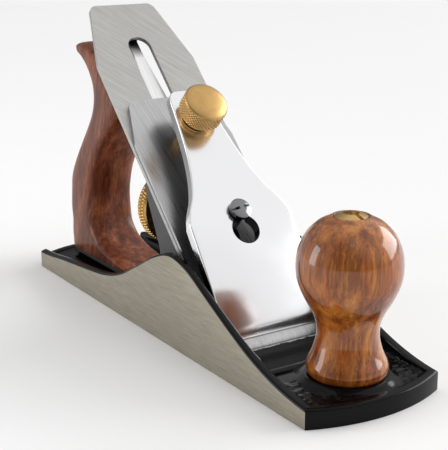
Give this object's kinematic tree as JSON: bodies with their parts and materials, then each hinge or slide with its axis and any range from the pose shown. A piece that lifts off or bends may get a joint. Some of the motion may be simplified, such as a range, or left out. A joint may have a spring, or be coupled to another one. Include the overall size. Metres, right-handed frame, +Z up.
{
  "type": "hand plane",
  "caption": "Metal smoothing plane with a turned front knob, a shaped rear handle, a bedded blade under a lever cap, and depth, lateral and frog adjustment.",
  "frame": {"origin": "middle of the sole, at the bottom centre of the whole object", "axes": "+X towards the toe, +Y to the left cheek, +Z up from the sole"},
  "size_m": [0.245, 0.064, 0.1351],
  "materials": {
    "cast_body": "black japanned inside, ground bare sides and sole",
    "knob_wood": "gloss varnish",
    "handle_wood": "satin varnish",
    "brass": "satin turned",
    "frog_paint": "satin enamel, bare bed face",
    "bright_steel": "bright",
    "iron_steel": "satin ground",
    "breaker_steel": "polished",
    "cap_chrome": "mirror"
  },
  "bodies": {
    "casting": {"body_casting": "cast_body", "front_knob": "knob_wood", "knob_bolt": "bright_steel", "knob_nut": "brass", "rear_handle": "handle_wood", "handle_bolt": "bright_steel", "handle_nut": "brass", "frog_screws": "bright_steel", "frog_screw_washers": "bright_steel"},
    "frog": {"frog": "frog_paint", "depth_stud": "bright_steel", "yoke_pin": "bright_steel", "lateral_rivet": "bright_steel", "lever_cap_screw": "cap_chrome", "frog_adjusting_clip": "bright_steel", "clip_screw": "bright_steel"},
    "frog_adjuster": {"frog_adjusting_screw": "bright_steel"},
    "depth_wheel": {"depth_wheel": "brass"},
    "yoke": {"yoke": "frog_paint"},
    "blade": {"plane_iron": "iron_steel", "chipbreaker": "breaker_steel", "cap_iron_screw": "bright_steel"},
    "lever_cap": {"lever_cap": "cap_chrome"},
    "thumb_screw": {"thumb_screw": "brass"},
    "lateral_lever": {"lateral_lever": "bright_steel"},
    "lateral_roller": {"lateral_roller": "bright_steel"}
  },
  "joints": [
    {"name": "frog_shift", "type": "slide", "parent": "casting", "child": "frog", "axis": [1, 0, 0], "range_m": [-0.0015, 0.001]},
    {"name": "frog_screw_spin", "type": "hinge", "parent": "frog", "child": "frog_adjuster", "pos_m": [0, 0, 0.0082], "axis": [1, 0, 0], "range_deg": [-451, 676]},
    {"name": "depth_wheel_spin", "type": "hinge", "parent": "frog", "child": "depth_wheel", "pos_m": [-0.026, 0, 0.0465], "axis": [1, 0, 0], "range_deg": [-587, 246]},
    {"name": "yoke_swing", "type": "hinge", "parent": "frog", "child": "yoke", "pos_m": [-0.00954, 0, 0.05798], "axis": [0, 1, 0], "range_deg": [-8.64, 3.63]},
    {"name": "iron_depth", "type": "slide", "parent": "frog", "child": "blade", "axis": [0.7071, 0, -0.7071], "range_m": [-0.0012, 0.0005]},
    {"name": "lever_cap_slide", "type": "slide", "parent": "frog", "child": "lever_cap", "axis": [-0.7071, 0, 0.7071], "range_m": [0, 0.0095]},
    {"name": "thumb_screw_spin", "type": "hinge", "parent": "lever_cap", "child": "thumb_screw", "pos_m": [-0.00827, 0, 0.09065], "axis": [0.7071, 0, 0.7071], "range_deg": [0, 720]},
    {"name": "lateral_lever_swing", "type": "hinge", "parent": "frog", "child": "lateral_lever", "pos_m": [-0.02085, 0, 0.07495], "axis": [0.7071, 0, 0.7071], "range_deg": [-9, 9]},
    {"name": "lateral_roller_spin", "type": "hinge", "parent": "lateral_lever", "child": "lateral_roller", "pos_m": [-0.0152, 0, 0.0693], "axis": [0.7071, 0, 0.7071], "continuous": true}
  ],
  "couplings": [
    {"joint": "frog_screw_spin", "follows": "frog_shift", "rad_per_m": -7854},
    {"joint": "depth_wheel_spin", "follows": "iron_depth", "rad_per_m": 8524.1},
    {"joint": "yoke_swing", "follows": "iron_depth", "rad_per_m": 125}
  ]
}
